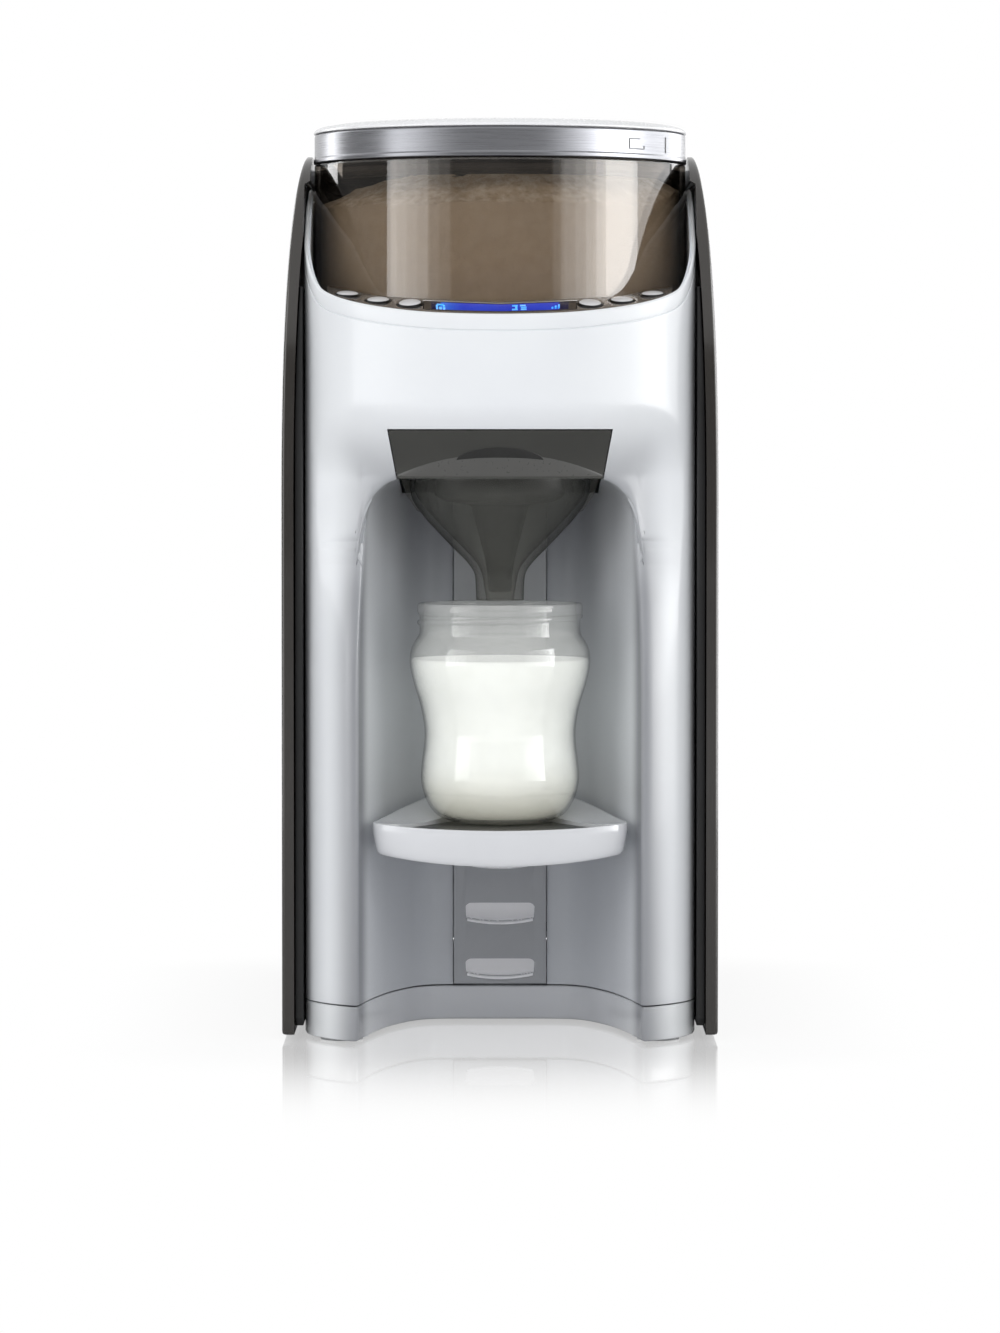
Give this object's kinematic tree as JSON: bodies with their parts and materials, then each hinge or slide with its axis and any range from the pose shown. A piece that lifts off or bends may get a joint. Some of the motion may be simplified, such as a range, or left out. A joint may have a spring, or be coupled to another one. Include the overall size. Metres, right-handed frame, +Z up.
{
  "type": "baby formula maker",
  "caption": "Countertop machine with a powder container on top, lit control band, pull-out mixing funnel over a bottle on a tray, and a lift-out water tank behind.",
  "frame": {"origin": "on the worktop, under the middle of the machine's width and depth", "axes": "+X to the right seen from the front, +Y to the back, +Z up"},
  "size_m": [0.165, 0.29, 0.348],
  "materials": {
    "body_white": "gloss moulded",
    "base_white": "gloss moulded",
    "panel_dark": "gloss moulded",
    "matte_black": "fine texture",
    "band_dark": "metallic-look gloss",
    "button_black": "high gloss",
    "display_blue": "lit window",
    "container_smoke": "clear smoked",
    "funnel_smoke": "dark smoked",
    "lid_silver": "brushed metal-look",
    "lid_white": "satin moulded",
    "grey_plastic": "moulded",
    "slot_grey": "moulded",
    "mat_grey": "smooth",
    "bottle_clear": "clear",
    "tank_smoke": "clear smoked",
    "foot_rubber": "moulded",
    "seal_rubber": "moulded",
    "screw_steel": "zinc plated",
    "board_green": "coated laminate",
    "gear_ivory": "acetal",
    "hose_clear": "silicone",
    "heater_metal": "cast",
    "motor_metal": "plated"
  },
  "bodies": {
    "housing": {"front_housing": "body_white", "rear_housing": "body_white", "top_cover": "body_white", "base_pan": "base_white", "side_panel_left": "panel_dark", "side_panel_right": "panel_dark", "side_spacer_left": "matte_black", "side_spacer_right": "matte_black", "container_deck": "matte_black", "control_bezel": "band_dark", "display_lens": "display_blue", "control_board": "board_green", "display_module": "grey_plastic", "slot_panel": "slot_grey", "main_board": "board_green", "gear_motor": "motor_metal", "drive_bracket": "grey_plastic", "water_pump": "grey_plastic", "heater_block": "heater_metal", "water_nozzle": "grey_plastic", "hose_inlet": "hose_clear", "hose_pump": "hose_clear", "hose_outlet": "hose_clear", "tank_socket": "grey_plastic", "power_inlet": "matte_black", "powder_chute": "grey_plastic", "funnel_rail_left": "grey_plastic", "funnel_rail_right": "grey_plastic", "foot_1": "foot_rubber", "base_screw_1": "screw_steel", "foot_2": "foot_rubber", "base_screw_2": "screw_steel", "foot_3": "foot_rubber", "base_screw_3": "screw_steel", "foot_4": "foot_rubber", "base_screw_4": "screw_steel"},
    "container": {"powder_container": "container_smoke", "outlet_cover": "grey_plastic"},
    "stirrer": {"dosing_wheel": "gear_ivory", "stirrer": "gear_ivory"},
    "lid_seal": {"lid_seal": "seal_rubber"},
    "lid": {"lid_cap": "lid_white", "lid_band": "lid_silver"},
    "drive_gear": {"drive_gear": "gear_ivory"},
    "drive_pinion": {"drive_pinion": "gear_ivory"},
    "funnel": {"funnel": "funnel_smoke"},
    "tray": {"tray_frame": "body_white", "tray_mat": "mat_grey"},
    "bottle": {"bottle": "bottle_clear"},
    "tank": {"water_tank": "tank_smoke"},
    "tank_valve": {"tank_valve": "seal_rubber"},
    "tank_lid": {"tank_lid": "panel_dark"},
    "button_1": {"button_1": "button_black"},
    "button_2": {"button_2": "button_black"},
    "button_3": {"button_3": "button_black"},
    "button_4": {"button_4": "button_black"},
    "button_5": {"button_5": "button_black"},
    "button_6": {"button_6": "button_black"}
  },
  "joints": [
    {"name": "container_lift", "type": "slide", "parent": "housing", "child": "container", "axis": [0, 0, 1], "range_m": [0, 0.08]},
    {"name": "lid_lift", "type": "slide", "parent": "container", "child": "lid_seal", "axis": [0, 0, 1], "range_m": [0, 0.03]},
    {"name": "lid_twist", "type": "hinge", "parent": "lid_seal", "child": "lid", "pos_m": [0, -0.056, 0.338], "axis": [0, 0, 1], "range_deg": [-20, 0]},
    {"name": "stirrer_spin", "type": "hinge", "parent": "container", "child": "stirrer", "pos_m": [0, -0.056, 0.272], "axis": [0, 0, 1], "continuous": true},
    {"name": "drive_gear_spin", "type": "hinge", "parent": "housing", "child": "drive_gear", "pos_m": [0, -0.056, 0.253], "axis": [0, 0, 1], "continuous": true},
    {"name": "drive_pinion_spin", "type": "hinge", "parent": "housing", "child": "drive_pinion", "pos_m": [0, -0.03175, 0.253], "axis": [0, 0, 1], "continuous": true},
    {"name": "funnel_slide", "type": "slide", "parent": "housing", "child": "funnel", "axis": [0, -1, 0], "range_m": [0, 0.085]},
    {"name": "tray_slide", "type": "slide", "parent": "housing", "child": "tray", "axis": [0, -1, 0], "range_m": [0, 0.1]},
    {"name": "bottle_slide", "type": "slide", "parent": "tray", "child": "bottle", "axis": [0, -1, 0], "range_m": [0, 0.09]},
    {"name": "tank_lift", "type": "slide", "parent": "housing", "child": "tank", "axis": [0, 0, 1], "range_m": [0, 0.24]},
    {"name": "valve_slide", "type": "slide", "parent": "tank", "child": "tank_valve", "axis": [0, 0, 1], "range_m": [-0.002, 0]},
    {"name": "tank_lid_hinge", "type": "hinge", "parent": "tank", "child": "tank_lid", "pos_m": [0, 0.138, 0.327], "axis": [-1, 0, 0], "range_deg": [0, 100]},
    {"name": "button_1_press", "type": "slide", "parent": "housing", "child": "button_1", "axis": [-0.0393, 0.1772, -0.9834], "range_m": [0, 0.0008], "stiffness_N_per_m": 300},
    {"name": "button_2_press", "type": "slide", "parent": "housing", "child": "button_2", "axis": [-0.0073, 0.2382, -0.9712], "range_m": [0, 0.0008], "stiffness_N_per_m": 300},
    {"name": "button_3_press", "type": "slide", "parent": "housing", "child": "button_3", "axis": [0.0556, 0.2976, -0.9531], "range_m": [0, 0.0008], "stiffness_N_per_m": 300},
    {"name": "button_4_press", "type": "slide", "parent": "housing", "child": "button_4", "axis": [-0.0556, 0.2977, -0.953], "range_m": [0, 0.0008], "stiffness_N_per_m": 300},
    {"name": "button_5_press", "type": "slide", "parent": "housing", "child": "button_5", "axis": [0.0073, 0.2382, -0.9712], "range_m": [0, 0.0008], "stiffness_N_per_m": 300},
    {"name": "button_6_press", "type": "slide", "parent": "housing", "child": "button_6", "axis": [0.0393, 0.1772, -0.9834], "range_m": [0, 0.0008], "stiffness_N_per_m": 300}
  ],
  "couplings": [
    {"joint": "drive_gear_spin", "follows": "stirrer_spin", "ratio": 1},
    {"joint": "drive_pinion_spin", "follows": "stirrer_spin", "ratio": -3},
    {"joint": "valve_slide", "follows": "tank_lift", "ratio": -0.0083333}
  ]
}
